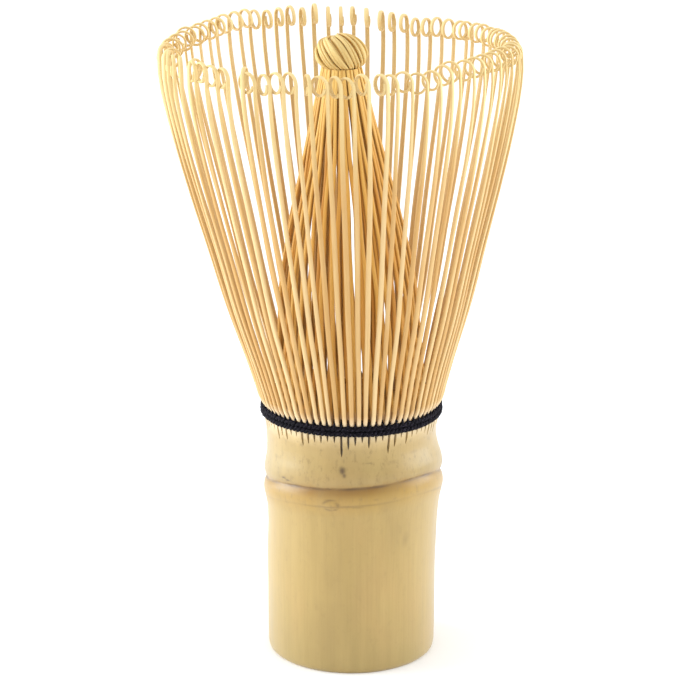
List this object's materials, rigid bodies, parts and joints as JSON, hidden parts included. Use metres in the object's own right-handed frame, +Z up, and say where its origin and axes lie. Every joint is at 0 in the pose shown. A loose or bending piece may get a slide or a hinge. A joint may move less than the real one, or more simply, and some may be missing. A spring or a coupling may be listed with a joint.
{
  "type": "bamboo tea whisk",
  "caption": "Hand-split bamboo whisk for frothing powdered tea: culm handle, flared outer tines with curled tips, inner tines tied in a knot, black thread weave.",
  "frame": {"origin": "centre of the foot, on the surface that the handle stands on", "axes": "+Z up along the handle; the whisk is the same all round, and the pictured side faces -Y"},
  "size_m": [0.059, 0.059, 0.1051],
  "materials": {
    "culm": "dried bamboo skin, satin",
    "outer_tines": "shaved bamboo, satin",
    "inner_tines": "shaved bamboo, satin",
    "knot": "shaved bamboo, satin",
    "thread": "twisted thread, matt"
  },
  "bodies": {
    "root": {"handle": "culm", "inner_tines_01": "inner_tines", "inner_tines_02": "inner_tines", "inner_tines_03": "inner_tines", "inner_tines_04": "inner_tines", "inner_tines_05": "inner_tines", "inner_tines_06": "inner_tines", "inner_tines_07": "inner_tines", "inner_tines_08": "inner_tines", "inner_tines_09": "inner_tines", "inner_tines_10": "inner_tines", "inner_tines_11": "inner_tines", "inner_tines_12": "inner_tines", "inner_tines_13": "inner_tines", "inner_tines_14": "inner_tines", "inner_tines_15": "inner_tines", "inner_tines_16": "inner_tines", "knot": "knot", "thread_lower_turn": "thread", "thread_upper_turn": "thread", "thread_inner_turn": "thread"},
    "split_01": {"outer_tines_01": "outer_tines"},
    "split_02": {"outer_tines_02": "outer_tines"},
    "split_03": {"outer_tines_03": "outer_tines"},
    "split_04": {"outer_tines_04": "outer_tines"},
    "split_05": {"outer_tines_05": "outer_tines"},
    "split_06": {"outer_tines_06": "outer_tines"},
    "split_07": {"outer_tines_07": "outer_tines"},
    "split_08": {"outer_tines_08": "outer_tines"},
    "split_09": {"outer_tines_09": "outer_tines"},
    "split_10": {"outer_tines_10": "outer_tines"},
    "split_11": {"outer_tines_11": "outer_tines"},
    "split_12": {"outer_tines_12": "outer_tines"},
    "split_13": {"outer_tines_13": "outer_tines"},
    "split_14": {"outer_tines_14": "outer_tines"},
    "split_15": {"outer_tines_15": "outer_tines"},
    "split_16": {"outer_tines_16": "outer_tines"}
  },
  "joints": [
    {"name": "flex_01", "type": "hinge", "parent": "root", "child": "split_01", "pos_m": [0.014, 0, 0.0426], "axis": [0, 1, 0], "range_deg": [-2, 5], "stiffness_Nm_per_rad": 0.014},
    {"name": "flex_02", "type": "hinge", "parent": "root", "child": "split_02", "pos_m": [0.01293, 0.00536, 0.0426], "axis": [-0.3827, 0.9239, 0], "range_deg": [-2, 5], "stiffness_Nm_per_rad": 0.014},
    {"name": "flex_03", "type": "hinge", "parent": "root", "child": "split_03", "pos_m": [0.0099, 0.0099, 0.0426], "axis": [-0.7071, 0.7071, 0], "range_deg": [-2, 5], "stiffness_Nm_per_rad": 0.014},
    {"name": "flex_04", "type": "hinge", "parent": "root", "child": "split_04", "pos_m": [0.00536, 0.01293, 0.0426], "axis": [-0.9239, 0.3827, 0], "range_deg": [-2, 5], "stiffness_Nm_per_rad": 0.014},
    {"name": "flex_05", "type": "hinge", "parent": "root", "child": "split_05", "pos_m": [0, 0.014, 0.0426], "axis": [-1, 0, 0], "range_deg": [-2, 5], "stiffness_Nm_per_rad": 0.014},
    {"name": "flex_06", "type": "hinge", "parent": "root", "child": "split_06", "pos_m": [-0.00536, 0.01293, 0.0426], "axis": [-0.9239, -0.3827, 0], "range_deg": [-2, 5], "stiffness_Nm_per_rad": 0.014},
    {"name": "flex_07", "type": "hinge", "parent": "root", "child": "split_07", "pos_m": [-0.0099, 0.0099, 0.0426], "axis": [-0.7071, -0.7071, 0], "range_deg": [-2, 5], "stiffness_Nm_per_rad": 0.014},
    {"name": "flex_08", "type": "hinge", "parent": "root", "child": "split_08", "pos_m": [-0.01293, 0.00536, 0.0426], "axis": [-0.3827, -0.9239, 0], "range_deg": [-2, 5], "stiffness_Nm_per_rad": 0.014},
    {"name": "flex_09", "type": "hinge", "parent": "root", "child": "split_09", "pos_m": [-0.014, 0, 0.0426], "axis": [0, -1, 0], "range_deg": [-2, 5], "stiffness_Nm_per_rad": 0.014},
    {"name": "flex_10", "type": "hinge", "parent": "root", "child": "split_10", "pos_m": [-0.01293, -0.00536, 0.0426], "axis": [0.3827, -0.9239, 0], "range_deg": [-2, 5], "stiffness_Nm_per_rad": 0.014},
    {"name": "flex_11", "type": "hinge", "parent": "root", "child": "split_11", "pos_m": [-0.0099, -0.0099, 0.0426], "axis": [0.7071, -0.7071, 0], "range_deg": [-2, 5], "stiffness_Nm_per_rad": 0.014},
    {"name": "flex_12", "type": "hinge", "parent": "root", "child": "split_12", "pos_m": [-0.00536, -0.01293, 0.0426], "axis": [0.9239, -0.3827, 0], "range_deg": [-2, 5], "stiffness_Nm_per_rad": 0.014},
    {"name": "flex_13", "type": "hinge", "parent": "root", "child": "split_13", "pos_m": [0, -0.014, 0.0426], "axis": [1, 0, 0], "range_deg": [-2, 5], "stiffness_Nm_per_rad": 0.014},
    {"name": "flex_14", "type": "hinge", "parent": "root", "child": "split_14", "pos_m": [0.00536, -0.01293, 0.0426], "axis": [0.9239, 0.3827, 0], "range_deg": [-2, 5], "stiffness_Nm_per_rad": 0.014},
    {"name": "flex_15", "type": "hinge", "parent": "root", "child": "split_15", "pos_m": [0.0099, -0.0099, 0.0426], "axis": [0.7071, 0.7071, 0], "range_deg": [-2, 5], "stiffness_Nm_per_rad": 0.014},
    {"name": "flex_16", "type": "hinge", "parent": "root", "child": "split_16", "pos_m": [0.01293, -0.00536, 0.0426], "axis": [0.3827, 0.9239, 0], "range_deg": [-2, 5], "stiffness_Nm_per_rad": 0.014}
  ]
}
